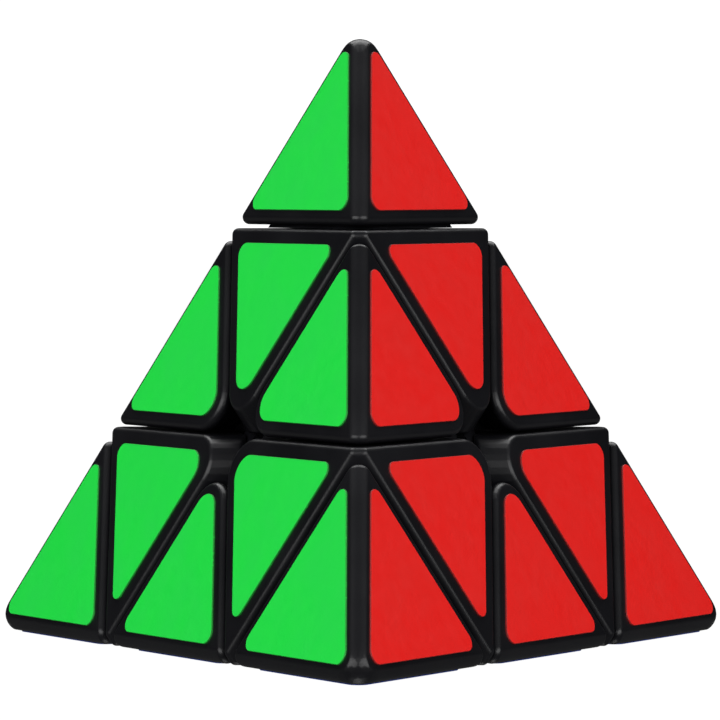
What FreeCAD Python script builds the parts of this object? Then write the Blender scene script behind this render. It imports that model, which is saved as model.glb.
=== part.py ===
import FreeCAD, Part

import math
import os

from FreeCAD import Placement, Rotation, Vector

# Pyramid twisty puzzle: a regular tetrahedron cut into three layers along four axes.
# Origin at the centre of the core, where the four turning axes meet. +Z points at the top tip,
# -Y at the front tetrahedron edge. Millimetres.

doc = FreeCAD.newDocument("pyramid_puzzle")

DIMENSIONS = {
    "edge_length": 98.0,          # sharp edge of the whole tetrahedron
    "edge_rounding": 1.5,         # radius along the tetrahedron's edges
    "corner_blunting": 3.9,       # from a sharp corner of the tetrahedron to the end of a tip
    "tip_drop": 0.7,              # a tip is this much more than a third of the height
    "tip_gap": 0.5,               # gap seen between a tip and its centre piece
    "layer_raise": 0.25,          # a turning layer is this much less than two thirds of it
    "layer_gap": 0.3,             # gap between two layers
    "border_rounding": 0.7,       # radius along the borders of tips and edge pieces
    "centre_rounding": 0.3,       # radius along the borders of centre pieces
    "face_hole_rounding": 4.5,    # corner radius that opens the hole in the middle of a face
    "foot_reach": 16.0,           # outer radius of the edge pieces' feet
    "foot_clearance": 0.3,        # running clearance round the feet and necks
    "cone_angle": 76.0,           # half angle of the cone that parts one layer's feet from the rest
    "stem_radius": 6.5,           # stem that joins an edge piece to its foot
    "core_radius": 10.0,          # ball of the core
    "boss_radius": 3.5,           # posts that carry the centre pieces
    "boss_reach": 18.0,           # end of a post, from the centre
    "boss_clearance": 0.25,       # running clearance round a post
    "screw_radius": 1.5,
    "screw_root": 4.5,            # inner end of a screw, from the centre
    "screw_clearance": 0.2,       # round a screw where a piece turns on it
    "thread_clearance": 0.02,     # round a screw in its post
    "head_radius": 2.8,
    "head_height": 1.8,
    "slot_length": 3.4,           # arms of the cross in a screw head
    "slot_width": 0.7,
    "slot_depth": 1.0,
    "washer_radius": 3.2,
    "washer_thickness": 0.5,
    "spring_radius": 2.3,         # mean radius of the coil
    "wire_radius": 0.3,
    "spring_length": 5.0,
    "spring_turns": 4.0,
    "seat_clearance": 0.1,        # under a tip's base plate and under its spring
    "plate_thickness": 2.5,       # base plate of a tip
    "plate_rounding": 3.2,        # its three corners
    "plate_clearance": 0.1,       # between the plate and the inside of its cap
    "cap_wall": 1.6,              # wall of a tip's cap
    "pocket_radius": 7.0,         # moulded pocket in a centre piece, under its tip
    "pocket_floor": 21.0,         # floor of that pocket, from the centre
    "tube_radius": 3.4,           # tube left round the screw in the pocket
    "sticker_thickness": 0.2,
    "sticker_edge_margin": 2.3,   # from a tetrahedron edge to a sticker
    "sticker_cut_margin": 2.2,    # from a cut to a sticker
    "sticker_corner": 1.3,        # usual corner radius of a sticker
    "sticker_hole_corner": 2.4,   # corner radius next to the hole in the middle of a face
}

SHEET = doc.addObject("Spreadsheet::Sheet", "dims")
for row, (alias, value) in enumerate(DIMENSIONS.items(), start=1):
    SHEET.set("A%d" % row, alias)
    SHEET.set("B%d" % row, str(value))
    SHEET.setAlias("B%d" % row, alias)
doc.recompute()

# The four turning axes point at the tetrahedron's corners, and a face is named by the corner
# that it lies opposite to.
CORNERS = ("top", "front", "left", "right")
UP = Vector(0, 0, 1)
TILT = math.degrees(math.acos(-1.0 / 3.0))  # angle between any two of the axes
AXES = {
    "top": UP,
    "front": Rotation(Vector(1, 0, 0), TILT).multVec(UP),
    "right": Rotation(UP, 120).multiply(Rotation(Vector(1, 0, 0), TILT)).multVec(UP),
    "left": Rotation(UP, 240).multiply(Rotation(Vector(1, 0, 0), TILT)).multVec(UP),
}
FACE_COLOURS = {"right": "green", "left": "red", "top": "blue", "front": "yellow"}

INRADIUS = "dims.edge_length * sqrt(6) / 12"
TIP_CUT = INRADIUS + " * 5 / 3 - dims.tip_drop"
LAYER_CUT = INRADIUS + " / 3 + dims.layer_raise"
TIP_RIM = TIP_CUT + " + dims.tip_gap / 2"
CENTRE_TOP = TIP_CUT + " - dims.tip_gap / 2"
LAYER_FLOOR = LAYER_CUT + " + dims.layer_gap / 2"
PLATE_FOOT = CENTRE_TOP + " + dims.seat_clearance"
PLATE_TOP = PLATE_FOOT + " + dims.plate_thickness"
SPRING_FOOT = PLATE_TOP + " + dims.seat_clearance"
WASHER_FOOT = SPRING_FOOT + " + dims.spring_length"
HEAD_FOOT = WASHER_FOOT + " + dims.washer_thickness"

parts = {}


def bind(item, **expressions):
    """Ties properties of an object to the sheet; a double underscore stands for a dot."""
    for name, expression in expressions.items():
        item.setExpression(name.replace("__", "."), str(expression))
    return item


def add(kind, name, **expressions):
    return bind(doc.addObject(kind, name), **expressions)


def common(name, *shapes):
    item = doc.addObject("Part::MultiCommon", name)
    item.Shapes = list(shapes)
    return item


def fuse(name, *shapes):
    item = doc.addObject("Part::MultiFuse", name)
    item.Shapes = list(shapes)
    item.Refine = True
    return item


def cut(name, base, tool):
    item = doc.addObject("Part::Cut", name)
    item.Base = base
    item.Tool = tool
    return item


def copy(name, master, rotation=None):
    """A second place for a piece: the same shape, turned about the centre of the core."""
    item = doc.addObject("Part::Compound", name)
    item.Links = [master]
    item.Placement = Placement(Vector(), rotation or Rotation())
    return item


def keep(label, master, rotation=None):
    """Makes one sub-part of the puzzle, under its own label, from a master shape."""
    item = copy(label, master, rotation)
    parts[label] = item
    return item


def turn_to(first, second):
    """The turn of the whole puzzle that takes its top corner to one corner, its front to another."""
    outward = AXES[first]
    forward = AXES[second] - outward * AXES[second].dot(outward)
    return Rotation(Vector(), -forward, outward, "ZYX")


def turn_onto(corner):
    """A turn that takes the top corner to another one."""
    return turn_to(corner, "front" if corner != "front" else "top")


def ball(name, radius):
    return add("Part::Sphere", name, Radius=radius)


def column(name, radius, bottom, top):
    """An upright cylinder on the Z axis between two heights."""
    return add("Part::Cylinder", name, Radius=radius, Placement__Base__z=bottom,
               Height="(%s) - (%s)" % (top, bottom))


def pyramid(name, foot, apex, turn=0):
    """A three-sided pyramid on the Z axis whose faces slope as the tetrahedron's do."""
    outline = add("Part::RegularPolygon", name + "_outline", Placement__Base__z=foot,
                  Circumradius="abs((%s) - (%s)) / sqrt(2)" % (apex, foot))
    outline.Polygon = 3
    outline.Placement.Rotation = Rotation(UP, turn - 90)
    point = add("Part::Vertex", name + "_apex", Z=apex)
    item = doc.addObject("Part::Loft", name)
    item.Sections = [outline, point]
    item.Solid = True
    item.Ruled = True
    return item


def cone(name, angle, apex, reach, rotation=None):
    """A cone that opens outwards from a point of its axis, turned to one of the axes."""
    item = add("Part::Cone", name, Radius2="(%s) * tan(%s)" % (reach, angle), Height=reach)
    item.Radius1 = 0
    turn = rotation or Rotation()
    item.Placement.Rotation = turn
    direction = turn.multVec(UP)
    for coordinate in "xyz":
        share = getattr(direction, coordinate)
        bind(item, **{"Placement__Base__" + coordinate: "(%s) * %.12f" % (apex, share)})
    return item


def face_normal(face, point):
    u, v = face.Surface.parameter(point)
    return face.normalAt(u, v)


def sharp_edges(shape):
    """Names of the edges where two faces meet at an angle, not smoothly."""
    names = []
    for number, edge in enumerate(shape.Edges, start=1):
        middle = edge.valueAt((edge.FirstParameter + edge.LastParameter) / 2)
        faces = [face for face in shape.Faces if any(edge.isSame(other) for other in face.Edges)]
        if len(faces) == 2:
            turn = face_normal(faces[0], middle).getAngle(face_normal(faces[1], middle))
            if turn > math.radians(10):
                names.append("Edge%d" % number)
    return names


def rounded(name, base, radius, choose=sharp_edges):
    """A body that rounds the chosen edges of a shape with one radius from the sheet."""
    doc.recompute()
    body = doc.addObject("PartDesign::Body", name)
    body.BaseFeature = base
    doc.recompute()
    source = body.Group[0]
    fillet = body.newObject("PartDesign::Fillet", name + "_fillet")
    fillet.Base = (source, choose(source.Shape))
    fillet.Refine = False
    bind(fillet, Radius=radius)
    doc.recompute()
    return body


def slanted_edges(shape):
    """Names of the straight edges that are neither level nor part of a level outline."""
    names = []
    for number, edge in enumerate(shape.Edges, start=1):
        if abs(edge.tangentAt(edge.FirstParameter).z) > 0.3:
            names.append("Edge%d" % number)
    return names


def all_edges(shape):
    return ["Edge%d" % number for number in range(1, len(shape.Edges) + 1)]


# Outer form: the whole tetrahedron with rounded edges and blunt corners.
tetrahedron = pyramid("tetrahedron", "-" + INRADIUS, "3 * " + INRADIUS)
soft_tetrahedron = rounded("soft_tetrahedron", tetrahedron, "dims.edge_rounding", all_edges)
corner_ball = ball("corner_ball", "3 * %s - dims.corner_blunting" % INRADIUS)
outer_form = common("outer_form", soft_tetrahedron, corner_ball)


def build_core():
    """Ball with four posts, each with a blind screw hole."""
    core_ball = ball("core_ball", "dims.core_radius")
    posts = []
    holes = []
    post = column("post", "dims.boss_radius", 0, "dims.boss_reach")
    hole = column("post_hole", "dims.screw_radius + dims.thread_clearance", "dims.screw_root",
                  "dims.boss_reach")
    for corner in CORNERS:
        posts.append(copy("post_" + corner, post, turn_onto(corner)))
        holes.append(copy("hole_" + corner, hole, turn_onto(corner)))
    body = fuse("core_body", core_ball, *posts)
    keep("core", cut("core_bored", body, fuse("core_holes", *holes)))


def build_hardware():
    """The four screws, springs and washers that hold the tips and centre pieces to the core."""
    shaft = column("screw_shaft", "dims.screw_radius", "dims.screw_root", HEAD_FOOT)
    head = column("screw_head", "dims.head_radius", HEAD_FOOT, HEAD_FOOT + " + dims.head_height")
    arms = []
    for number in (0, 1):
        arm = add("Part::Box", "cross_arm_%d" % number, Length="dims.slot_length",
                  Width="dims.slot_width", Height="dims.slot_depth",
                  Placement__Base__z=HEAD_FOOT + " + dims.head_height - dims.slot_depth",
                  Placement__Base__x="-dims.slot_length / 2",
                  Placement__Base__y="-dims.slot_width / 2")
        arms.append(copy("cross_arm_turned_%d" % number, arm, Rotation(UP, 90 * number)))
    screw = cut("screw", fuse("screw_blank", shaft, head), fuse("cross", *arms))
    washer_disc = column("washer_disc", "dims.washer_radius", WASHER_FOOT, HEAD_FOOT)
    washer_hole = column("washer_hole", "dims.screw_radius + dims.screw_clearance", WASHER_FOOT,
                         HEAD_FOOT)
    washer = cut("washer", washer_disc, washer_hole)
    coil = add("Part::Helix", "coil", Radius="dims.spring_radius",
               Pitch="(dims.spring_length - 2 * dims.wire_radius) / dims.spring_turns",
               Height="dims.spring_length - 2 * dims.wire_radius",
               Placement__Base__z=SPRING_FOOT + " + dims.wire_radius")
    coil.SegmentLength = 1
    wire = add("Part::Circle", "wire", Radius="dims.wire_radius",
               Placement__Base__x="dims.spring_radius",
               Placement__Base__z=SPRING_FOOT + " + dims.wire_radius")
    wire.Placement.Rotation = Rotation(Vector(1, 0, 0), 90)
    spring = doc.addObject("Part::Sweep", "spring")
    spring.Sections = [wire]
    spring.Spine = (coil, [])
    spring.Solid = True
    spring.Frenet = True
    for label, master in (("core_screws", screw), ("axis_springs", spring),
                          ("spring_washers", washer)):
        group = doc.addObject("Part::Compound", label)
        group.Links = [copy(label + "_" + corner, master, turn_onto(corner)) for corner in CORNERS]
        parts[label] = group


def build_tips():
    """The four tips: a hollow cap over a base plate that turns on the centre piece."""
    block = common("tip_block", outer_form, column("tip_zone", "dims.edge_length", TIP_RIM,
                                                   "3 * " + INRADIUS))
    shell = rounded("tip_shell", block, "dims.border_rounding")
    hollow = pyramid("tip_hollow", TIP_RIM, "3 * (%s - dims.cap_wall)" % INRADIUS)
    cap = cut("tip_cap", shell, hollow)
    inside = pyramid("plate_taper", PLATE_FOOT,
                     "3 * (%s - dims.cap_wall - dims.plate_clearance)" % INRADIUS)
    soft_inside = rounded("soft_plate_taper", inside, "dims.plate_rounding", slanted_edges)
    plate = common("plate_body", soft_inside, column("plate_zone", "dims.edge_length",
                                                     PLATE_FOOT, PLATE_TOP))
    bored = cut("tip_plate", plate, column("plate_hole", "dims.screw_radius + dims.screw_clearance",
                                           PLATE_FOOT, PLATE_TOP))
    for corner in CORNERS:
        keep("tip_cap_" + corner, cap, turn_onto(corner))
        keep("tip_base_" + corner, bored, turn_onto(corner))


def build_centres():
    """The four centre pieces: an eight-sided block on a neck that turns on its post."""
    side = LAYER_CUT + " - dims.layer_gap / 2"
    hopper = pyramid("centre_hopper", "dims.edge_length / 2", "-3 * (%s)" % side, 180)
    soft_hopper = rounded("soft_hopper", hopper, "dims.face_hole_rounding", slanted_edges)
    zone = column("centre_zone", "dims.edge_length", LAYER_FLOOR, CENTRE_TOP)
    block = rounded("centre_block", common("centre_blank", outer_form, soft_hopper, zone),
                    "dims.centre_rounding")
    room = ball("foot_room", "dims.foot_reach + dims.foot_clearance")
    neck_angle = "(%.12f deg - dims.cone_angle * 1 deg)" % TILT
    neck_cone = cone("neck_cone", neck_angle, "dims.foot_clearance / sin(%s)" % neck_angle,
                     "dims.foot_reach + 3 * dims.foot_clearance")
    neck_end = ball("neck_end", "dims.foot_reach + 2 * dims.foot_clearance")
    neck_start = ball("neck_start", "dims.core_radius + dims.foot_clearance")
    neck = cut("neck", common("neck_blank", neck_cone, neck_end), neck_start)
    solid = fuse("centre_solid", cut("centre_top", block, room), neck)
    bore = column("post_bore", "dims.boss_radius + dims.boss_clearance", 0,
                  "dims.boss_reach + dims.foot_clearance")
    screw_hole = column("centre_screw_hole", "dims.screw_radius + dims.screw_clearance", 0,
                        CENTRE_TOP)
    ring = cut("pocket",
               column("pocket_well", "dims.pocket_radius", "dims.pocket_floor", CENTRE_TOP),
               column("pocket_tube", "dims.tube_radius", "dims.pocket_floor", CENTRE_TOP))
    piece = cut("centre_piece", solid, fuse("centre_voids", bore, screw_hole, ring))
    for corner in CORNERS:
        keep("centre_" + corner, piece, turn_onto(corner))


def inner_edge(shape):
    """Name of the one edge of an edge piece that runs level, from side to side."""
    names = []
    for number, edge in enumerate(shape.Edges, start=1):
        if abs(edge.tangentAt(edge.FirstParameter).x) > 0.999:
            names.append("Edge%d" % number)
    return names


def build_edge_pieces():
    """The six edge pieces: a wedge with a foot that the centre pieces hold down."""
    layer = column("layer", "2 * dims.edge_length", LAYER_FLOOR, "dims.edge_length")
    other_layer = copy("other_layer", layer, turn_onto("front"))
    blank = common("edge_blank", outer_form, layer, other_layer)
    opened = rounded("edge_opened", blank, "dims.face_hole_rounding", inner_edge)
    block = rounded("edge_block", opened, "dims.border_rounding")
    half_clearance = "dims.foot_clearance / 2 / sin(dims.cone_angle)"
    cone_reach = "dims.foot_reach + 2 * dims.foot_clearance"
    cone_angle = "dims.cone_angle * 1 deg"
    own = []
    others = []
    for corner in CORNERS:
        turn = turn_onto(corner)
        if corner in ("top", "front"):
            own.append(cone("own_cone_" + corner, cone_angle, half_clearance, cone_reach, turn))
        else:
            others.append(cone("other_cone_" + corner, cone_angle, "-" + half_clearance,
                               cone_reach, turn))
    foot_room = fuse("foot_others", ball("foot_start", "dims.core_radius + dims.foot_clearance"),
                     *others)
    foot = cut("foot", common("foot_blank", ball("foot_end", "dims.foot_reach"), *own), foot_room)
    middle = (AXES["top"] + AXES["front"]).normalize()
    rod = column("stem_rod", "dims.stem_radius", 0, "dims.edge_length / 3")
    stem = common("stem", blank, copy("stem_turned", rod, Rotation(UP, middle)))
    piece = fuse("edge_piece", block, stem, foot)
    for number, first in enumerate(CORNERS):
        for second in CORNERS[number + 1:]:
            keep("edge_%s_%s" % (first, second), piece, turn_to(first, second))


def upright_edges(corner_side):
    """Chooses the short edges of a sticker blank at its own corner, or at its two other ones."""
    def choose(shape):
        names = []
        for number, edge in enumerate(shape.Edges, start=1):
            upright = abs(edge.tangentAt(edge.FirstParameter).z) > 0.9
            at_corner = abs(edge.CenterOfMass.x) < 1.0
            if upright and at_corner == corner_side:
                names.append("Edge%d" % number)
        return names
    return choose


def sticker(name, corner_y, side_y, corner_radius, heading):
    """A three-sided sticker on the underside: one corner and the side opposite, both by their Y."""
    outline = add("Part::RegularPolygon", name + "_outline",
                  Circumradius="abs((%s) - (%s)) * 2 / 3" % (corner_y, side_y),
                  Placement__Base__y="((%s) + 2 * (%s)) / 3" % (corner_y, side_y),
                  Placement__Base__z="-%s - dims.sticker_thickness" % INRADIUS)
    outline.Polygon = 3
    outline.Placement.Rotation = Rotation(UP, heading)
    blank = add("Part::Extrusion", name + "_blank", LengthFwd="dims.sticker_thickness")
    blank.Base = outline
    blank.DirMode = "Custom"
    blank.Dir = UP
    blank.Solid = True
    soft = rounded(name + "_soft", blank, corner_radius, upright_edges(True))
    return rounded(name, soft, "dims.sticker_corner", upright_edges(False))


def on_underside(cut_reach):
    """Y where a cut at a distance from the centre crosses the underside, towards the front."""
    return "-((%s) - %s / 3) * 3 / sqrt(8)" % (cut_reach, INRADIUS)


def build_stickers():
    """Three stickers of each kind on each of the four faces."""
    front_corner = "-dims.edge_length / sqrt(3) + 2 * dims.sticker_edge_margin"
    back_side = "dims.edge_length / sqrt(12) - dims.sticker_edge_margin"
    tip_side = on_underside(TIP_CUT) + " - dims.sticker_cut_margin"
    centre_side = on_underside(TIP_CUT) + " + dims.sticker_cut_margin"
    crossing = "(%s - %s / 3) * 3 / sqrt(2)" % (LAYER_CUT, INRADIUS)
    centre_corner = crossing + " - 2 * dims.sticker_cut_margin"
    edge_corner = crossing + " + 2 * dims.sticker_cut_margin"
    tip = sticker("tip_sticker", front_corner, tip_side, "dims.sticker_corner", -90)
    centre = sticker("centre_sticker", centre_corner, centre_side, "dims.sticker_hole_corner", 90)
    edge = sticker("edge_sticker", edge_corner, back_side, "dims.sticker_hole_corner", -90)
    for opposite in CORNERS:
        colour = FACE_COLOURS[opposite]
        for corner in CORNERS:
            if corner == opposite:
                continue
            turn = turn_to(opposite, corner)
            ends = [name for name in CORNERS if name not in (opposite, corner)]
            keep("sticker_%s_tip_%s" % (colour, corner), tip, turn)
            keep("sticker_%s_centre_%s" % (colour, corner), centre, turn)
            keep("sticker_%s_edge_%s_%s" % (colour, ends[0], ends[1]), edge, turn)


build_core()
build_hardware()
build_tips()
build_centres()
build_edge_pieces()
build_stickers()

doc.recompute()
for item in doc.Objects:
    assert "Invalid" not in item.State and "Error" not in item.State, item.Name
for label, item in parts.items():
    assert not item.Shape.isNull() and item.Shape.isValid(), label

os.makedirs("parts", exist_ok=True)
for label, item in parts.items():
    item.Shape.exportStep("parts/%s.step" % label)
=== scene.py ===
import logging
import math
from dataclasses import dataclass, field
from enum import Enum
from itertools import combinations

import bmesh
import bpy
from mathutils import Matrix, Vector


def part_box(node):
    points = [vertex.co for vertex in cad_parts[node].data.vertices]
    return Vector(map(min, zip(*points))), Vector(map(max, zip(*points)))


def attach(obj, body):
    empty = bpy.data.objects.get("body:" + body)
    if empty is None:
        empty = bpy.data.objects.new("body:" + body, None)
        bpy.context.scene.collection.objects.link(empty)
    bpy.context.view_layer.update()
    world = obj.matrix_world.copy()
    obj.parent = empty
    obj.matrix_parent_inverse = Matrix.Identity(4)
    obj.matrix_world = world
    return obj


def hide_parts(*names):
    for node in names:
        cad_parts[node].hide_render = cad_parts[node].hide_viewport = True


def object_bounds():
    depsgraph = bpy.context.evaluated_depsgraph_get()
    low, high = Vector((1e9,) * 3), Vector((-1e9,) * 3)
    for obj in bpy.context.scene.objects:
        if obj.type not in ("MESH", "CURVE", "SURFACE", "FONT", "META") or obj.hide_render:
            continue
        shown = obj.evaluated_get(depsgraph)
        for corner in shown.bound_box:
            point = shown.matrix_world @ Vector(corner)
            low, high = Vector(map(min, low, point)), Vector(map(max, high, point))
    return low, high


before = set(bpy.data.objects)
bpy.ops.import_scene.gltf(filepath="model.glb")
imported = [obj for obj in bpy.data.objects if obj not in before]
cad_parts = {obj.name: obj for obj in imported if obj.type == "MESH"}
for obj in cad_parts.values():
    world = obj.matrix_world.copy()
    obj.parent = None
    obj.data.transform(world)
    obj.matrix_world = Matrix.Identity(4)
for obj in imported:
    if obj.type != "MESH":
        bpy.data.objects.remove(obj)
CAD_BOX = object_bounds()

LOG = logging.getLogger("pyramid_puzzle")
MM = 0.001            # metres in a millimetre; shapes are worked out in millimetres
NEAR = 0.002          # mm: two points or planes closer than this are the same
PARALLEL = 1e-4       # three sides whose normals span less than this meet in no point
PAST = 1.0            # mm that a cutting tool goes on past the solid that it cuts
CURVE_STEP = math.radians(10)   # turn between two facets of a rounded border
FLAT_TURN = math.radians(0.4)   # facets that turn less than this are one flat side
AXES_APART = math.degrees(math.acos(-1 / 3))   # degrees between any two turning axes
CORNER_TURN = math.radians(120)   # how far the outline of a sticker turns at a corner
NOISE_LOW, NOISE_HIGH = 0.3, 0.7   # most of a noise lies between these
ROUND_STEPS = 96      # facets round a turned solid
UP = Vector((0, 0, 1))


class Corner(Enum):
    """A corner of the tetrahedron; the face opposite to it goes by the same name."""

    TOP = "top"
    FRONT = "front"
    LEFT = "left"
    RIGHT = "right"

    @property
    def axis(self) -> Vector:
        """The turning axis that runs out through this corner.

        Returns:
            Its unit direction.
        """
        if self is Corner.TOP:
            return UP.copy()
        heading = {"front": -90, "left": 150, "right": 30}[self.value]
        level = Vector((math.cos(math.radians(heading)), math.sin(math.radians(heading)), 0))
        return level * math.sqrt(8) / 3 - UP / 3


class Carving(Enum):
    """How one solid changes another."""

    JOIN = "UNION"
    CUT = "DIFFERENCE"
    KEEP_COMMON = "INTERSECT"


class Vinyl(Enum):
    """The four sticker colours, each with its face and its two close shades."""

    GREEN = ("green", Corner.RIGHT, "#16D941", "#1BD546")
    RED = ("red", Corner.LEFT, "#DD1510", "#D91B16")
    BLUE = ("blue", Corner.TOP, "#1A4FD6", "#1D4ACB")
    YELLOW = ("yellow", Corner.FRONT, "#FFD816", "#F7D31C")

    def __init__(self, word: str, face: Corner, fresh: str, mottle: str) -> None:
        """Stores what belongs to one colour.

        Args:
            word: the colour's name, as in the names of pieces and slots.
            face: the face it covers, by the corner opposite.
            fresh: main shade, sRGB hex.
            mottle: second shade of the film, sRGB hex.
        """
        self.word = word
        self.face = face
        self.fresh = fresh
        self.mottle = mottle


@dataclass(frozen=True)
class Plane:
    """A flat side of a solid.

    Attributes:
        normal: outward unit normal.
        reach: distance from the centre of the core, along the normal, in mm.
    """

    normal: Vector
    reach: float


@dataclass(frozen=True)
class Cuts:
    """Where the tetrahedron's faces and cuts lie, in mm from the centre of the core.

    Attributes:
        inradius: the four faces.
        tip_end: end of a blunt tip.
        tip_rim: lower rim of a tip.
        centre_top: top of a centre piece, under its tip.
        centre_side: side of a centre piece that faces another layer.
        layer_gap: gap between two layers.
        edge_rounding: radius along the tetrahedron's edges.
        hole_rounding: corner radius that opens the hole in the middle of a face.
    """

    inradius: float = -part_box("edge_left_right")[0].z / MM
    tip_end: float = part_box("tip_cap_top")[1].z / MM
    tip_rim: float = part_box("tip_cap_top")[0].z / MM
    centre_top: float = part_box("centre_top")[1].z / MM
    centre_side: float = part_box("centre_front")[1].z / MM
    layer_gap: float = 0.3
    edge_rounding: float = 1.5
    hole_rounding: float = 4.5

    @property
    def layer_cut(self) -> float:
        """Middle of the gap between a turning layer and the rest."""
        return self.centre_side + self.layer_gap / 2

    @property
    def layer_floor(self) -> float:
        """Lowest plane of a turning layer."""
        return self.centre_side + self.layer_gap

    def face(self, opposite: Corner) -> Plane:
        """The tetrahedron face opposite to a corner."""
        return Plane(-opposite.axis, self.inradius)


CUTS = Cuts()


@dataclass(frozen=True)
class Fits:
    """Sizes that the centre pieces, edge pieces and core share, in mm and degrees.

    Attributes:
        core_radius: ball of the core.
        foot_reach: outer radius of the edge pieces' feet.
        foot_clearance: running clearance round feet and necks.
        cone_angle: half angle of the cone that parts a layer's feet from the rest.
        post_radius: posts of the core.
        post_clearance: running clearance round a post.
        post_reach: end of a post, from the centre of the core.
        screw_radius: screws in the posts.
        screw_clearance: room round a screw where a piece turns on it.
    """

    core_radius: float = 10.0
    foot_reach: float = 16.0
    foot_clearance: float = 0.3
    cone_angle: float = 76.0
    post_radius: float = 3.5
    post_clearance: float = 0.25
    post_reach: float = 18.0
    screw_radius: float = 1.5
    screw_clearance: float = 0.2

    @property
    def neck_angle(self) -> float:
        """Half angle of a centre piece's neck, the rest of the angle between two axes."""
        return AXES_APART - self.cone_angle


FITS = Fits()


# ---------------------------------------------------------------- solids

def round_edge(first: Plane, second: Plane, radius: float, steps: int = 10) -> list[Plane]:
    """Works out tangent planes that round the edge between two sides.

    Args:
        first: one side.
        second: the other side.
        radius: radius of the rounding, in mm.
        steps: number of turns between the two sides.

    Returns:
        The planes between the two sides, without the sides themselves.
    """
    slant = first.normal.dot(second.normal)
    a, b = first.reach - radius, second.reach - radius
    middle = (first.normal * (a - slant * b) + second.normal * (b - slant * a)) / (1 - slant**2)
    planes = []
    for step in range(1, steps):
        normal = first.normal.slerp(second.normal, step / steps)
        planes.append(Plane(normal, normal.dot(middle) + radius))
    return planes


def meeting_points(planes: list[Plane]) -> list[tuple[Vector, list[Vector]]]:
    """Finds the corners of the convex solid that a set of planes bounds.

    Args:
        planes: the sides of the solid.

    Returns:
        Each corner with the normals of the sides that meet there.
    """
    found: list[tuple[Vector, list[Vector]]] = []
    for a, b, c in combinations(planes, 3):
        volume = a.normal.dot(b.normal.cross(c.normal))
        if abs(volume) < PARALLEL:
            continue
        point = (b.normal.cross(c.normal) * a.reach + c.normal.cross(a.normal) * b.reach
                 + a.normal.cross(b.normal) * c.reach) / volume
        if any(plane.normal.dot(point) > plane.reach + NEAR for plane in planes):
            continue
        if any((point - other).length < NEAR for other, _ in found):
            continue
        sides = [p.normal for p in planes if p.normal.dot(point) > p.reach - NEAR]
        found.append((point, sides))
    return found


def fan(sides: list[Vector]) -> list[Vector]:
    """Spreads directions over the rounded corner between some sides.

    Args:
        sides: normals of the sides that meet at the corner.

    Returns:
        Unit directions, the normals among them.
    """
    directions = list(sides)
    for a, b in combinations(sides, 2):
        steps = max(1, round(a.angle(b) / CURVE_STEP))
        directions += [a.slerp(b, step / steps) for step in range(1, steps)]
    for a, b, c in combinations(sides, 3):
        narrow = min(a.angle(b), b.angle(c), c.angle(a))
        steps = round(narrow / CURVE_STEP)
        for i in range(1, steps):
            for j in range(1, steps - i):
                directions.append((a * i + b * j + c * (steps - i - j)).normalized())
    return directions


def soft_solid(name: str, planes: list[Plane], rounding: float) -> bpy.types.Object:
    """Makes a convex solid whose every edge is rounded.

    Args:
        name: name of the new object.
        planes: the solid's sides.
        rounding: radius of the edges between them, in mm.

    Returns:
        The solid, in millimetres.
    """
    inner = [Plane(plane.normal, plane.reach - rounding) for plane in planes]
    shape = bmesh.new()
    for point, sides in meeting_points(inner):
        for direction in fan(sides):
            shape.verts.new(point + direction * rounding)
    bmesh.ops.remove_doubles(shape, verts=shape.verts, dist=NEAR)
    bmesh.ops.convex_hull(shape, input=shape.verts)
    loose = [vert for vert in shape.verts if not vert.link_faces]
    bmesh.ops.delete(shape, geom=loose, context="VERTS")
    bmesh.ops.dissolve_limit(shape, angle_limit=FLAT_TURN, verts=shape.verts,
                             edges=shape.edges)
    return as_object(name, shape)


def turned_solid(name: str, profile: list[tuple[float, float]],
                 axis: Vector = UP) -> bpy.types.Object:
    """Turns a profile about an axis through the centre of the core.

    Args:
        name: name of the new object.
        profile: points of (radius, height) from the lower to the upper end, both on the axis, or
            round a closed outline that begins and ends at one point, inner side last.
        axis: unit direction of the axis.

    Returns:
        The solid, in millimetres.
    """
    shape = bmesh.new()
    rings = []
    for radius, height in profile:
        count = 1 if radius < NEAR else ROUND_STEPS
        turns = [2 * math.pi * step / count for step in range(count)]
        rings.append([shape.verts.new((radius * math.cos(turn), radius * math.sin(turn), height))
                      for turn in turns])
    if profile[0] == profile[-1]:
        bmesh.ops.delete(shape, geom=rings.pop(), context="VERTS")
        rings.append(rings[0])
    for lower, upper in zip(rings, rings[1:]):
        for step in range(ROUND_STEPS):
            after = (step + 1) % ROUND_STEPS
            loop = [lower[step % len(lower)], lower[after % len(lower)],
                    upper[after % len(upper)], upper[step % len(upper)]]
            shape.faces.new(list(dict.fromkeys(loop)))
    shape.transform(UP.rotation_difference(axis).to_matrix().to_4x4())
    return as_object(name, shape)


def ball(name: str, radius: float) -> bpy.types.Object:
    """Makes a ball about the centre of the core.

    Args:
        name: name of the new object.
        radius: its radius, in mm.

    Returns:
        The ball, in millimetres.
    """
    rings = ROUND_STEPS // 2
    climbs = [math.pi * ring / rings for ring in range(rings + 1)]
    return turned_solid(name, [(radius * math.sin(climb), -radius * math.cos(climb))
                               for climb in climbs])


def cone(name: str, half_angle: float, apex: float, reach: float,
         axis: Vector = UP) -> bpy.types.Object:
    """Makes a cone that opens outwards along an axis.

    Args:
        name: name of the new object.
        half_angle: angle between the axis and the cone's side, in degrees.
        apex: place of its point on the axis, in mm.
        reach: its height, in mm.
        axis: unit direction of the axis.

    Returns:
        The cone, in millimetres.
    """
    rim = reach * math.tan(math.radians(half_angle))
    return turned_solid(name, [(0, apex), (rim, apex + reach), (0, apex + reach)], axis)


def column(name: str, radius: float, bottom: float, top: float,
           axis: Vector = UP) -> bpy.types.Object:
    """A cylinder on an axis between two heights, in mm."""
    return turned_solid(name, [(0, bottom), (radius, bottom), (radius, top), (0, top)], axis)


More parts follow.
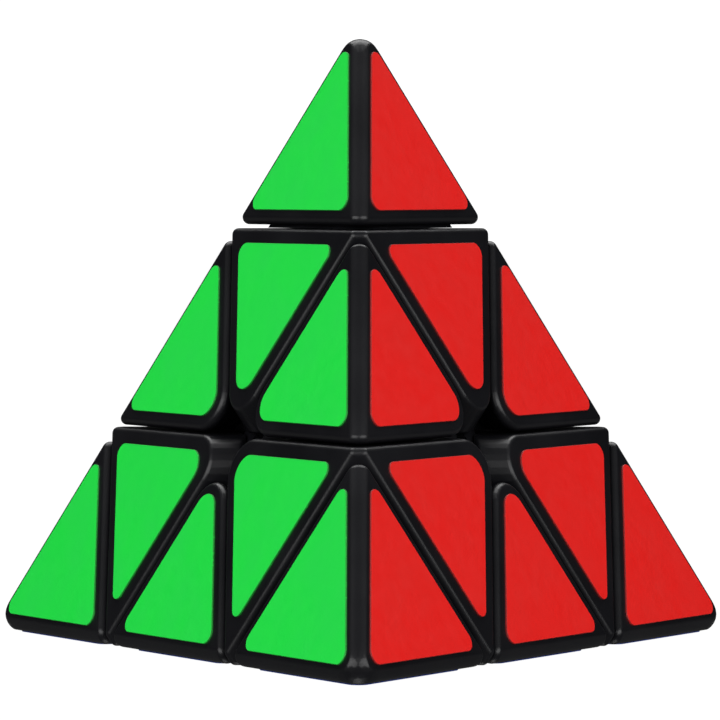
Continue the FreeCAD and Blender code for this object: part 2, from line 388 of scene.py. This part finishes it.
def as_object(name: str, shape: bmesh.types.BMesh) -> bpy.types.Object:
    """Turns a worked-out shape into an object of the scene.

    Args:
        name: name of the object and its mesh.
        shape: the shape, which is freed here.

    Returns:
        The new object.
    """
    bmesh.ops.recalc_face_normals(shape, faces=shape.faces)
    mesh = bpy.data.meshes.new(name)
    shape.to_mesh(mesh)
    shape.free()
    item = bpy.data.objects.new(name, mesh)
    bpy.context.scene.collection.objects.link(item)
    return item


def carve(piece: bpy.types.Object, how: Carving, *tools: bpy.types.Object) -> bpy.types.Object:
    """Joins, cuts or trims a solid with others, which are used up.

    Args:
        piece: the solid that changes.
        how: what the tools do to it.
        tools: the other solids.

    Returns:
        The same piece, with its new mesh.
    """
    for tool in tools:
        modifier = piece.modifiers.new("carving", "BOOLEAN")
        modifier.operation = how.value
        modifier.solver = "MANIFOLD"
        modifier.object = tool
        ready = piece.evaluated_get(bpy.context.evaluated_depsgraph_get())
        mesh = bpy.data.meshes.new_from_object(ready)
        piece.modifiers.clear()
        piece.data = mesh
        bpy.data.objects.remove(tool)
    return piece


def turn_to(first: Corner, second: Corner) -> Matrix:
    """The turn of the puzzle that takes its top corner to one corner and its front to another.

    Args:
        first: where the top corner goes.
        second: where the front corner goes.

    Returns:
        The rotation as a matrix.
    """
    outward = first.axis
    backward = (outward * second.axis.dot(outward) - second.axis).normalized()
    sideways = backward.cross(outward)
    return Matrix((sideways, backward, outward)).transposed()


def turn_onto(corner: Corner) -> Matrix:
    """A turn of the puzzle that takes its top corner to another one."""
    return turn_to(corner, Corner.TOP if corner is Corner.FRONT else Corner.FRONT)


def place(master: bpy.types.Object, name: str, turn: Matrix, body: str, slot: str,
          *nodes: str) -> bpy.types.Object:
    """Makes one piece from a master solid, rides it on its body and hides the CAD nodes that it
    stands for.

    Args:
        master: the solid, in millimetres, where it was worked out.
        name: name of the piece.
        turn: rotation from there to its own place.
        body: CAD body that it rides on.
        slot: material slot of the record; not used.
        nodes: CAD nodes that it stands for.

    Returns:
        The piece, in metres.
    """
    piece = master.copy()
    piece.data = master.data.copy()
    piece.name = name
    piece.data.name = name
    piece.data.transform(turn.to_4x4() @ Matrix.Scale(MM, 4))
    bpy.context.scene.collection.objects.link(piece)
    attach(piece, body)
    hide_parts(*nodes)
    LOG.info("%s rides on %s", name, body)
    return piece


def smooth(piece: bpy.types.Object, crease: float = 35.0) -> None:
    """Shades a master solid smoothly over its roundings and flat on its flats.

    Args:
        piece: the solid.
        crease: angle in degrees above which an edge stays sharp.
    """
    piece.data.shade_smooth()
    piece.data.set_sharp_from_angle(angle=math.radians(crease))
    weights = piece.modifiers.new("flat sides stay flat", "WEIGHTED_NORMAL")
    weights.keep_sharp = True


def coat(piece: bpy.types.Object, finish: bpy.types.Material) -> None:
    """Gives every side of a solid one finish.

    Args:
        piece: the solid.
        finish: its material.
    """
    piece.data.materials.clear()
    piece.data.materials.append(finish)
    for side in piece.data.polygons:
        side.material_index = 0


def dress(node: str, finish: bpy.types.Material) -> None:
    """Gives a CAD node a finish and leaves its shape alone.

    Args:
        node: name of the CAD node.
        finish: its material.
    """
    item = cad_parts[node]
    if not item.material_slots:
        item.data.materials.append(finish)
    for slot in item.material_slots:
        slot.material = finish
    LOG.info("%s keeps its CAD shape", node)


# ---------------------------------------------------------------- finishes

def linear(colour: str) -> tuple[float, float, float, float]:
    """Turns an sRGB hex colour to linear light.

    Args:
        colour: six hex digits after a hash.

    Returns:
        Red, green, blue and alpha.
    """
    channels = [int(colour[start:start + 2], 16) / 255 for start in (1, 3, 5)]
    light = [c / 12.92 if c <= 0.04045 else ((c + 0.055) / 1.055) ** 2.4 for c in channels]
    return (*light, 1.0)


WHITE = linear("#FFFFFF")


def add_node(tree: bpy.types.NodeTree, kind: str, settings: dict | None = None,
             **sockets: object) -> bpy.types.Node:
    """Adds a shader node with its settings and its links.

    Args:
        tree: the node tree.
        kind: Blender's name of the node, without "ShaderNode".
        settings: attributes of the node.
        sockets: inputs by name, with _ for a space, or by _ and number: a value, or an output
            socket to link.

    Returns:
        The node.
    """
    node = tree.nodes.new("ShaderNode" + kind)
    for name, value in (settings or {}).items():
        setattr(node, name, value)
    for name, value in sockets.items():
        number = name[1:]
        socket = node.inputs[int(number) if number.isdigit() else name.replace("_", " ")]
        if isinstance(value, bpy.types.NodeSocket):
            tree.links.new(value, socket)
        else:
            socket.default_value = value
    return node


def new_material(name: str) -> tuple[bpy.types.Material, bpy.types.NodeTree]:
    """Makes an empty material with nodes.

    Args:
        name: its name.

    Returns:
        The material and its node tree.
    """
    material = bpy.data.materials.new(name)
    material.use_nodes = True
    material.node_tree.nodes.clear()
    return material, material.node_tree


def per_metre(size: float) -> float:
    """Noise scale whose features are about a size in mm."""
    return 1 / (size * MM)


@dataclass(frozen=True)
class MouldedAbs:
    """Injection-moulded ABS with a satin, spark-eroded skin.

    The mould's fine grain breaks up reflections into a soft sheen, and broad flow marks make the
    sheen and the shade a little uneven.
    """

    name: str = "black ABS, satin moulded"
    colour: str = "#0C0C0F"
    flow_shade: str = "#111114"
    ior: float = 1.36          # under solid ABS, as the grain shades part of its gloss
    roughness: tuple[float, float] = (0.28, 0.36)
    grain: float = 0.30        # mm: real grain is 0.05 to 0.1, drawn coarser so that it shows
    grain_depth: float = 0.004  # mm
    grain_strength: float = 0.35
    flow: float = 11.0         # mm between broad flow marks
    flow_blend: tuple[float, float] = (0.35, 0.75)   # noise values of the two shades

    def build(self) -> bpy.types.Material:
        """Makes the material.

        Returns:
            The material.
        """
        material, tree = new_material(self.name)
        spot = add_node(tree, "TexCoord").outputs["Object"]
        flow = add_node(tree, "TexNoise", Vector=spot, Scale=per_metre(self.flow), Detail=3.0)
        grain = add_node(tree, "TexNoise", Vector=spot, Scale=per_metre(self.grain), Detail=2.0)
        sheen = add_node(tree, "MapRange", Value=flow.outputs["Fac"], From_Min=NOISE_LOW,
                         From_Max=NOISE_HIGH, To_Min=self.roughness[0], To_Max=self.roughness[1])
        shade = add_node(tree, "ValToRGB", Fac=flow.outputs["Fac"])
        shades = (self.colour, self.flow_shade)
        for stop, position, colour in zip(shade.color_ramp.elements, self.flow_blend, shades):
            stop.position = position
            stop.color = linear(colour)
        bump = add_node(tree, "Bump", Strength=self.grain_strength,
                        Distance=self.grain_depth * MM, Height=grain.outputs["Fac"])
        shader = add_node(tree, "BsdfPrincipled", Base_Color=shade.outputs["Color"],
                          Roughness=sheen.outputs["Result"], IOR=self.ior,
                          Normal=bump.outputs["Normal"])
        add_node(tree, "OutputMaterial", Surface=shader.outputs["BSDF"])
        return material


@dataclass(frozen=True)
class VinylFilm:
    """Cast vinyl sticker film with a satin face.

    The film's slight orange peel and its pigment's faint mottle keep the colour from looking flat.
    """

    colour: Vinyl
    ior: float = 1.42
    roughness: tuple[float, float] = (0.44, 0.52)
    peel: float = 1.6          # mm between the hills of the orange peel
    peel_depth: float = 0.006  # mm
    peel_strength: float = 0.25
    mottle: float = 6.0        # mm between patches of pigment
    mottle_blend: tuple[float, float] = (0.35, 0.7)   # noise values of the two shades

    def build(self) -> bpy.types.Material:
        """Makes the material.

        Returns:
            The material.
        """
        material, tree = new_material(f"{self.colour.word} vinyl film, cast")
        spot = add_node(tree, "TexCoord").outputs["Object"]
        peel = add_node(tree, "TexNoise", Vector=spot, Scale=per_metre(self.peel), Detail=2.0)
        patches = add_node(tree, "TexNoise", Vector=spot, Scale=per_metre(self.mottle), Detail=4.0)
        shade = add_node(tree, "ValToRGB", Fac=patches.outputs["Fac"])
        shades = (self.colour.fresh, self.colour.mottle)
        for stop, position, colour in zip(shade.color_ramp.elements, self.mottle_blend, shades):
            stop.position = position
            stop.color = linear(colour)
        sheen = add_node(tree, "MapRange", Value=peel.outputs["Fac"], From_Min=NOISE_LOW,
                         From_Max=NOISE_HIGH, To_Min=self.roughness[0], To_Max=self.roughness[1])
        bump = add_node(tree, "Bump", Strength=self.peel_strength,
                        Distance=self.peel_depth * MM, Height=peel.outputs["Fac"])
        shader = add_node(tree, "BsdfPrincipled", Base_Color=shade.outputs["Color"],
                          Roughness=sheen.outputs["Result"], IOR=self.ior,
                          Normal=bump.outputs["Normal"])
        add_node(tree, "OutputMaterial", Surface=shader.outputs["BSDF"])
        return material


@dataclass(frozen=True)
class VinylCutEdge:
    """Knife-cut edge of the sticker film, painted darker than its face as shade on the edge."""

    colour: Vinyl
    painted_edge_shade: float = 0.65        # share of the film's colour that the painted shade takes away
    ior: float = 1.52
    roughness: float = 0.6
    tear: float = 0.5          # mm between nicks of the knife
    tear_blend: tuple[float, float] = (0.6, 0.9)   # noise values of painted shade and bare film

    def build(self) -> bpy.types.Material:
        """Makes the material.

        Returns:
            The material.
        """
        material, tree = new_material(f"{self.colour.word} vinyl film, cut edge")
        spot = add_node(tree, "TexCoord").outputs["Object"]
        nicks = add_node(tree, "TexNoise", Vector=spot, Scale=per_metre(self.tear), Detail=2.0)
        face = linear(self.colour.fresh)
        # the cut edge's colour is darkened below the film's own: painted shade
        shaded_edge_colour = [channel * (1 - self.painted_edge_shade) for channel in face[:3]] + [1.0]
        shade = add_node(tree, "ValToRGB", Fac=nicks.outputs["Fac"])
        shades = (shaded_edge_colour, face)
        for stop, position, colour in zip(shade.color_ramp.elements, self.tear_blend, shades):
            stop.position = position
            stop.color = colour
        shader = add_node(tree, "BsdfPrincipled", Base_Color=shade.outputs["Color"],
                          Roughness=self.roughness, IOR=self.ior)
        add_node(tree, "OutputMaterial", Surface=shader.outputs["BSDF"])
        return material


@dataclass(frozen=True)
class DrawnSteel:
    """Bright zinc-plated steel, drawn or turned, with fine tool marks."""

    name: str
    colour: str = "#C9CBCC"
    dull: str = "#9EA1A3"
    roughness: tuple[float, float] = (0.22, 0.38)
    marks: float = 0.25        # mm between tool marks

    def build(self) -> bpy.types.Material:
        """Makes the material.

        Returns:
            The material.
        """
        material, tree = new_material(self.name)
        spot = add_node(tree, "TexCoord").outputs["Object"]
        marks = add_node(tree, "TexNoise", Vector=spot, Scale=per_metre(self.marks), Detail=3.0)
        shade = add_node(tree, "ValToRGB", Fac=marks.outputs["Fac"])
        shade.color_ramp.elements[0].color = linear(self.dull)
        shade.color_ramp.elements[1].color = linear(self.colour)
        sheen = add_node(tree, "MapRange", Value=marks.outputs["Fac"], From_Min=NOISE_LOW,
                         From_Max=NOISE_HIGH, To_Min=self.roughness[0], To_Max=self.roughness[1])
        shader = add_node(tree, "BsdfPrincipled", Base_Color=shade.outputs["Color"],
                          Roughness=sheen.outputs["Result"], Metallic=1.0)
        add_node(tree, "OutputMaterial", Surface=shader.outputs["BSDF"])
        return material


@dataclass(frozen=True)
class PaleFloor:
    """White acrylic light table: bright to look at, so that hardly any shadow shows on it.

    What it sends up to the object is kept dim, as black cards round a light table do, and it is
    clear from below and to the lamp under it, so that the object's underside is lit and seen.
    """

    name: str = "white acrylic light table"
    colour: str = "#363636"    # unlit, and dark, so that what shows is nearly all its own glow
    cloud: str = "#303030"
    roughness: float = 0.9
    specular_level: float = 0.1
    glow: float = 1.0          # as seen
    card_glow: float = 0.05    # as it lights the object
    clouding: float = 30.0     # mm between faint clouds in the acrylic

    def build(self) -> bpy.types.Material:
        """Makes the material.

        Returns:
            The material.
        """
        material, tree = new_material(self.name)
        spot = add_node(tree, "TexCoord").outputs["Object"]
        clouds = add_node(tree, "TexNoise", Vector=spot, Scale=per_metre(self.clouding))
        shade = add_node(tree, "ValToRGB", Fac=clouds.outputs["Fac"])
        shade.color_ramp.elements[0].color = linear(self.cloud)
        shade.color_ramp.elements[1].color = linear(self.colour)
        dim, bright = (
            add_node(tree, "BsdfPrincipled", Base_Color=shade.outputs["Color"],
                     Roughness=self.roughness, Specular_IOR_Level=self.specular_level,
                     Emission_Color=WHITE, Emission_Strength=strength)
            for strength in (self.card_glow, self.glow))
        ray = add_node(tree, "LightPath")
        both = add_node(tree, "MixShader", _0=ray.outputs["Is Camera Ray"],
                        _1=dim.outputs["BSDF"], _2=bright.outputs["BSDF"])
        under = add_node(tree, "NewGeometry").outputs["Backfacing"]
        see_through = add_node(tree, "Math", {"operation": "MAXIMUM"}, _0=under,
                               _1=ray.outputs["Is Shadow Ray"])
        clear = add_node(tree, "BsdfTransparent")
        upper = add_node(tree, "MixShader", _0=see_through.outputs["Value"],
                         _1=both.outputs["Shader"], _2=clear.outputs["BSDF"])
        add_node(tree, "OutputMaterial", Surface=upper.outputs["Shader"])
        return material


# ---------------------------------------------------------------- sub-assemblies

@dataclass
class Tips:
    """Four hollow caps, each on the base plate that turns on a centre piece; sizes in mm."""

    finish: bpy.types.Material
    border_rounding: float = 0.9
    dome_radius: float = 2.5
    dome_steps: int = 14            # facets of the dome from one face to another
    facet_allowance: float = 0.03   # how far the corners between facets reach past the dome
    wall: float = 1.6
    inner_rounding: float = 0.6
    run_out: float = 4.0            # how far the hollow goes on past the rim

    def dome(self) -> list[Plane]:
        """Works out tangent planes that blunt the tip into a small dome.

        Returns:
            The planes.
        """
        faces = [CUTS.face(corner).normal for corner in (Corner.FRONT, Corner.LEFT, Corner.RIGHT)]
        middle = UP * (CUTS.tip_end - self.facet_allowance - self.dome_radius)
        steps = self.dome_steps
        planes = []
        for i in range(1, steps - 1):
            for j in range(1, steps - i):
                normal = (faces[0] * i + faces[1] * j + faces[2] * (steps - i - j)).normalized()
                planes.append(Plane(normal, normal.dot(middle) + self.dome_radius))
        return planes

    def build_cap(self) -> bpy.types.Object:
        """Makes the master cap, on the top corner.

        Returns:
            The cap, in millimetres.
        """
        faces = [CUTS.face(corner) for corner in (Corner.FRONT, Corner.LEFT, Corner.RIGHT)]
        planes = [*faces, Plane(-UP, -CUTS.tip_rim), *self.dome()]
        for first, second in combinations(faces, 2):
            planes += round_edge(first, second, CUTS.edge_rounding)
        cap = soft_solid("tip cap", planes, self.border_rounding)
        inner = [Plane(face.normal, face.reach - self.wall) for face in faces]
        below = Plane(-UP, self.run_out - CUTS.tip_rim)
        carve(cap, Carving.CUT, soft_solid("hollow", [*inner, below], self.inner_rounding))
        smooth(cap)
        return cap

    def build(self) -> None:
        """Makes the four caps and dresses their base plates."""
        master = self.build_cap()
        coat(master, self.finish)
        for corner in Corner:
            name = corner.value
            place(master, f"cap_{name}", turn_onto(corner), f"tip_{name}", "black_plastic",
                  f"tip_cap_{name}")
            dress(f"tip_base_{name}", self.finish)
        bpy.data.objects.remove(master)


@dataclass
class CentrePieces:
    """Four centre pieces, each on a neck that turns on a post of the core; sizes in mm."""

    finish: bpy.types.Material
    border_rounding: float = 0.8
    pocket_radius: float = 7.0
    pocket_floor: float = 21.0
    tube_radius: float = 3.4

    def build_block(self) -> bpy.types.Object:
        """Makes the eight-sided block under a tip.

        Returns:
            The block, in millimetres.
        """
        around = (Corner.FRONT, Corner.LEFT, Corner.RIGHT)
        faces = [CUTS.face(corner) for corner in around]
        sides = [Plane(corner.axis, CUTS.centre_side) for corner in around]
        planes = [*faces, *sides, Plane(UP, CUTS.centre_top), Plane(-UP, -CUTS.layer_floor)]
        for first, second in combinations(faces, 2):
            planes += round_edge(first, second, CUTS.edge_rounding)
        for first, second in combinations(sides, 2):
            planes += round_edge(first, second, CUTS.hole_rounding)
        return soft_solid("centre", planes, self.border_rounding)

    def build_piece(self) -> bpy.types.Object:
        """Makes the master centre piece, on the top axis.

        Returns:
            The piece, in millimetres.
        """
        gap = FITS.foot_clearance
        neck_end = FITS.foot_reach + 2 * gap
        top = CUTS.centre_top + PAST
        piece = carve(self.build_block(), Carving.CUT, ball("room", FITS.foot_reach + gap))
        apex = gap / math.sin(math.radians(FITS.neck_angle))
        neck = cone("neck", FITS.neck_angle, apex, neck_end + PAST)
        carve(neck, Carving.KEEP_COMMON, ball("neck end", neck_end))
        carve(neck, Carving.CUT, ball("neck start", FITS.core_radius + gap))
        carve(piece, Carving.JOIN, neck)
        pocket = turned_solid("pocket", [
            (self.tube_radius, self.pocket_floor), (self.pocket_radius, self.pocket_floor),
            (self.pocket_radius, top), (self.tube_radius, top),
            (self.tube_radius, self.pocket_floor)])
        bore = column("bore", FITS.post_radius + FITS.post_clearance, 0, FITS.post_reach + gap)
        hole = column("hole", FITS.screw_radius + FITS.screw_clearance, 0, top)
        carve(piece, Carving.CUT, pocket, bore, hole)
        smooth(piece)
        return piece

    def build(self) -> None:
        """Makes the four centre pieces."""
        master = self.build_piece()
        coat(master, self.finish)
        for corner in Corner:
            name = corner.value
            place(master, f"centre_piece_{name}", turn_onto(corner), f"centre_{name}",
                  "black_plastic", f"centre_{name}")
        bpy.data.objects.remove(master)


@dataclass
class EdgePieces:
    """Six edge pieces, each with a foot that the centre pieces hold down; sizes in mm."""

    finish: bpy.types.Material
    border_rounding: float = 0.8
    stem_radius: float = 6.5
    stem_start: float = 2.0     # inner end, nearer the core than the floors that trim it
    stem_reach: float = 1.25    # outer end, inside the wedge, as a share of the inradius
    stem_margin: float = 0.05   # how far the stem stays inside the wedge's sides
    stem_rounding: float = 0.3

    def build_block(self) -> bpy.types.Object:
        """Makes the outer wedge of the piece between the top and the front corner.

        Returns:
            The wedge, in millimetres.
        """
        faces = [CUTS.face(Corner.LEFT), CUTS.face(Corner.RIGHT)]
        floors = [Plane(-corner.axis, -CUTS.layer_floor) for corner in (Corner.TOP, Corner.FRONT)]
        planes = [*faces, *floors, *round_edge(*faces, CUTS.edge_rounding),
                  *round_edge(*floors, CUTS.hole_rounding)]
        return soft_solid("edge", planes, self.border_rounding)

    def build_foot(self) -> bpy.types.Object:
        """Makes the foot, a shell round the core between the cones of the four axes.

        Returns:
            The foot, in millimetres.
        """
        apex = FITS.foot_clearance / 2 / math.sin(math.radians(FITS.cone_angle))
        reach = FITS.foot_reach + 2 * FITS.foot_clearance
        foot = ball("foot", FITS.foot_reach)
        for corner in (Corner.TOP, Corner.FRONT):
            carve(foot, Carving.KEEP_COMMON,
                  cone("own cone", FITS.cone_angle, apex, reach, corner.axis))
        for corner in (Corner.LEFT, Corner.RIGHT):
            carve(foot, Carving.CUT,
                  cone("other cone", FITS.cone_angle, -apex, reach, corner.axis))
        room = ball("core room", FITS.core_radius + FITS.foot_clearance)
        return carve(foot, Carving.CUT, room)

    def build_stem(self) -> bpy.types.Object:
        """Makes the stem that joins the wedge to its foot.

        Returns:
            The stem, in millimetres.
        """
        middle = (Corner.TOP.axis + Corner.FRONT.axis).normalized()
        stem = column("stem", self.stem_radius, self.stem_start, CUTS.inradius * self.stem_reach,
                      middle)
        floors = [Plane(-corner.axis, -CUTS.layer_floor) for corner in (Corner.TOP, Corner.FRONT)]
        walls = [CUTS.face(Corner.LEFT), CUTS.face(Corner.RIGHT), *floors]
        room = [Plane(wall.normal, wall.reach - self.stem_margin) for wall in walls]
        return carve(stem, Carving.KEEP_COMMON, soft_solid("stem room", room, self.stem_rounding))

    def build(self) -> None:
        """Makes the six edge pieces."""
        master = carve(self.build_block(), Carving.JOIN, self.build_stem(), self.build_foot())
        smooth(master)
        coat(master, self.finish)
        for first, second in combinations(Corner, 2):
            name = f"edge_{first.value}_{second.value}"
            place(master, f"{name}_piece", turn_to(first, second), name, "black_plastic", name)
        bpy.data.objects.remove(master)


@dataclass
class Sticker:
    """One kind of three-sided sticker, as it lies on the underside of the puzzle.

    Attributes:
        point: Y of the corner that has a radius of its own, before rounding, in mm.
        side: Y of the side opposite.
        point_radius: radius of that corner.
        radius: radius of the other two corners.
        thickness: thickness of the film, in mm.
        rim: width of the knife's soft shoulder round the face, in mm.
        upright: share of the thickness that the knife cuts upright.
        shoulder: middle of the shoulder, as shares of the rim and of the thickness.
        arc_steps: facets of each corner.
        crease: angle in degrees above which an edge of the film stays sharp.
    """

    point: float
    side: float
    point_radius: float
    radius: float = 1.3
    thickness: float = 0.2
    rim: float = 0.06
    upright: float = 0.55
    shoulder: tuple[float, float] = (0.35, 0.85)
    arc_steps: int = 14
    crease: float = 40.0

    def corners(self) -> list[tuple[Vector, float]]:
        """The three corners before rounding.

        Returns:
            Each corner with its radius.
        """
        half = abs(self.point - self.side) / math.sqrt(3)
        return [(Vector((0, self.point)), self.point_radius),
                (Vector((half, self.side)), self.radius), (Vector((-half, self.side)), self.radius)]

    def outline(self, inset: float) -> list[Vector]:
        """Works out the outline, with its corners as arcs.

        Args:
            inset: how far it lies inside the cut line, in mm.

        Returns:
            Its points in order.
        """
        corners = self.corners()
        middle = sum((corner for corner, _ in corners), Vector((0, 0))) / 3
        points = []
        for corner, radius in corners:
            inward = (middle - corner).normalized()
            centre = corner + inward * 2 * radius   # two radii in, as each corner has 60 degrees
            heading = math.atan2(-inward.y, -inward.x)
            for step in range(self.arc_steps + 1):
                turn = heading + CORNER_TURN * (step / self.arc_steps - 0.5)
                arm = Vector((math.cos(turn), math.sin(turn)))
                points.append(centre + arm * (radius - inset))
        points_forward = corners[0][0].y > corners[1][0].y
        if points_forward:
            first, second, third = (points[i:i + self.arc_steps + 1]
                                    for i in range(0, len(points), self.arc_steps + 1))
            points = first + third + second
        return points

    def build(self) -> bpy.types.Object:
        """Makes the master sticker, its face in slot 0 and its cut edge and back in slot 1.

        Returns:
            The sticker, in millimetres.
        """
        base = -CUTS.inradius
        shape = bmesh.new()
        inward, upward = self.shoulder
        levels = [(0.0, 0.0), (0.0, self.thickness * self.upright),
                  (self.rim * inward, self.thickness * upward), (self.rim, self.thickness)]
        rings = []
        for inset, lift in levels:
            rings.append([shape.verts.new((*point, base - lift)) for point in self.outline(inset)])
        shape.faces.new(rings[-1])
        shape.faces.new(rings[0]).material_index = 1
        for lower, upper in zip(rings, rings[1:]):
            for number, start in enumerate(lower):
                after = (number + 1) % len(lower)
                side = shape.faces.new((start, lower[after], upper[after], upper[number]))
                side.material_index = 1
        item = as_object("sticker", shape)
        smooth(item, self.crease)
        return item


@dataclass
class Stickers:
    """Nine stickers on each face, in one colour a face.

    Attributes:
        edge_margin: from a tetrahedron edge to a sticker, in mm.
        cut_margin: from a cut to a sticker, in mm.
        hole_corner: corner radius next to the hole in the middle of a face, in mm.
        tip_corner: corner radius at a tip, in mm.
    """

    edge_margin: float = 2.3
    cut_margin: float = 2.2
    hole_corner: float = 2.4
    tip_corner: float = 1.3

    def kinds(self) -> dict[str, Sticker]:
        """Works out the three kinds of sticker.

        Returns:
            Each kind, by the kind of piece that it is on.
        """
        # All on a face, from its middle: its sharp corner, the cut of a tip, and the place where
        # the cuts of two layers cross.
        middle_height = (CUTS.tip_rim + CUTS.centre_top) / 2
        face_radius = CUTS.inradius * math.sqrt(8)
        tip_cut = -(middle_height - CUTS.inradius / 3) * 3 / math.sqrt(8)
        crossing = (CUTS.layer_cut - CUTS.inradius / 3) * 3 / math.sqrt(2)
        return {
            "tip": Sticker(-face_radius + 2 * self.edge_margin, tip_cut - self.cut_margin,
                           self.tip_corner),
            "centre": Sticker(crossing - 2 * self.cut_margin, tip_cut + self.cut_margin,
                              self.hole_corner),
            "edge": Sticker(crossing + 2 * self.cut_margin, face_radius / 2 - self.edge_margin,
                            self.hole_corner),
        }

    def build(self) -> None:
        """Makes and places the stickers of all four faces."""
        masters = {kind: sticker.build() for kind, sticker in self.kinds().items()}
        for colour in Vinyl:
            finishes = (VinylFilm(colour).build(), VinylCutEdge(colour).build())
            for corner in Corner:
                if corner is colour.face:
                    continue
                ends = [other.value for other in Corner if other not in (colour.face, corner)]
                places = {"tip": corner.value, "centre": corner.value, "edge": "_".join(ends)}
                for kind, where in places.items():
                    piece = place(masters[kind], f"{colour.word}_{kind}_{where}",
                                  turn_to(colour.face, corner), f"{kind}_{where}",
                                  f"sticker_{colour.word}", f"sticker_{colour.word}_{kind}_{where}")
                    for finish in finishes:
                        piece.data.materials.append(finish)
        for master in masters.values():
            bpy.data.objects.remove(master)


@dataclass
class Mechanism:
    """Core, screws, springs and washers inside the puzzle."""

    plastic: bpy.types.Material

    def build(self) -> None:
        """Dresses the mechanism's CAD nodes."""
        steel = DrawnSteel("zinc-plated steel, turned").build()
        wire = DrawnSteel("spring steel wire, drawn", colour="#B4B7B8", dull="#85888A",
                          marks=0.15).build()
        dress("core", self.plastic)
        dress("core_screws", steel)
        dress("spring_washers", steel)
        dress("axis_springs", wire)


# ---------------------------------------------------------------- studio

@dataclass
class Softbox:
    """A flat studio light with four sides.

    Attributes:
        name: its name.
        direction: where it stands, seen from the object.
        distance: distance from the object, in metres.
        width: its level side, in metres.
        height: its other side, in metres.
        power: radiant power, in watts.
    """

    name: str
    direction: Vector
    distance: float
    width: float
    height: float
    power: float

    def build(self, target: Vector) -> None:
        """Puts the light in place.

        Args:
            target: the point that it is aimed at.
        """
        lamp = bpy.data.lights.new(self.name, "AREA")
        lamp.energy = self.power
        lamp.shape = "RECTANGLE"
        lamp.size = self.width
        lamp.size_y = self.height
        item = bpy.data.objects.new(self.name, lamp)
        item.location = target + self.direction.normalized() * self.distance
        item.rotation_euler = (target - item.location).to_track_quat("-Z", "Y").to_euler()
        item.visible_camera = False
        bpy.context.scene.collection.objects.link(item)


@dataclass
class Studio:
    """Pale floor, soft lights and the camera."""

    azimuth: float = 0.24       # degrees round from the front
    elevation: float = 3.26     # degrees above the horizon, seen from the core
    distance: float = 0.6887    # metres from the core to the lens
    lens: float = 274.5         # mm, on a 36 mm sensor
    aim_height: float = 0.01595  # metres above the core
    far_clip: float = 50.0      # metres
    floor_size: float = 8.0     # metres
    floor_gap: float = 0.00005  # metres under the object, so that the two do not share a plane
    backdrop: float = 1.1       # brightness of the surroundings, as seen
    fill: float = 0.02          # the same, as they light the object
    fill_tint: tuple[float, float, float, float] = (0.97, 0.98, 1.0, 1.0)   # linear light
    ceiling: float = 0.34       # even light from overhead, in watts per square metre
    ceiling_spread: float = 120.0  # degrees of sky that it fills
    softboxes: list[Softbox] = field(default_factory=lambda: [
        Softbox("left softbox", Vector((-0.66, -0.72, 0.3)),
                distance=0.95, width=1.1, height=0.6, power=8.7),
        Softbox("right softbox", Vector((0.66, -0.72, 0.3)),
                distance=0.95, width=1.1, height=0.6, power=8.7),
        Softbox("rear softbox", Vector((0.0, 0.5, 0.95)),
                distance=1.2, width=1.4, height=1.0, power=16.5),
        Softbox("under softbox", Vector((0.0, 0.0, -1.0)),
                distance=0.6, width=0.2, height=0.2, power=2.0),
    ])

    def build_floor(self) -> None:
        """Lays the floor under the object."""
        half = self.floor_size / 2
        height = CAD_BOX[0][2] - self.floor_gap
        shape = bmesh.new()
        corners = ((-half, -half), (half, -half), (half, half), (-half, half))
        shape.faces.new([shape.verts.new((x, y, height)) for x, y in corners])
        floor = as_object("floor", shape)
        floor.data.materials.append(PaleFloor().build())

    def build_ceiling(self) -> None:
        """Hangs a wide, even light overhead."""
        lamp = bpy.data.lights.new("ceiling", "SUN")
        lamp.energy = self.ceiling
        lamp.angle = math.radians(self.ceiling_spread)
        bpy.context.scene.collection.objects.link(bpy.data.objects.new("ceiling", lamp))

    def build_world(self) -> None:
        """Sets the white surroundings, which light the object only dimly."""
        world = bpy.data.worlds.new("studio")
        world.use_nodes = True
        tree = world.node_tree
        tree.nodes.clear()
        seen = add_node(tree, "Background", Color=WHITE, Strength=self.backdrop)
        fill = add_node(tree, "Background", Color=self.fill_tint, Strength=self.fill)
        ray = add_node(tree, "LightPath")
        both = add_node(tree, "MixShader", _0=ray.outputs["Is Camera Ray"],
                        _1=fill.outputs["Background"], _2=seen.outputs["Background"])
        add_node(tree, "OutputWorld", Surface=both.outputs["Shader"])
        bpy.context.scene.world = world

    def build_camera(self) -> None:
        """Sets the camera."""
        turn, rise = math.radians(self.azimuth), math.radians(self.elevation)
        arm = Vector((math.sin(turn) * math.cos(rise), -math.cos(turn) * math.cos(rise),
                      math.sin(rise)))
        camera = bpy.data.cameras.new("camera")
        camera.lens = self.lens
        camera.clip_end = self.far_clip
        item = bpy.data.objects.new("camera", camera)
        item.location = arm * self.distance
        aim = Vector((0, 0, self.aim_height)) - item.location
        item.rotation_euler = aim.to_track_quat("-Z", "Y").to_euler()
        bpy.context.scene.collection.objects.link(item)
        bpy.context.scene.camera = item

    def build(self) -> None:
        """Builds the whole studio."""
        bpy.context.scene.view_settings.view_transform = "Standard"
        self.build_floor()
        self.build_world()
        self.build_ceiling()
        self.build_camera()
        for softbox in self.softboxes:
            softbox.build(Vector((0, 0, self.aim_height)))


def main() -> None:
    """Builds the puzzle, sub-assembly by sub-assembly, and then its studio."""
    logging.basicConfig(level=logging.INFO, format="%(name)s: %(message)s")
    plastic = MouldedAbs().build()
    Mechanism(plastic).build()
    Tips(plastic).build()
    CentrePieces(plastic).build()
    EdgePieces(plastic).build()
    Stickers().build()
    Studio().build()


if __name__ == "__main__":
    main()
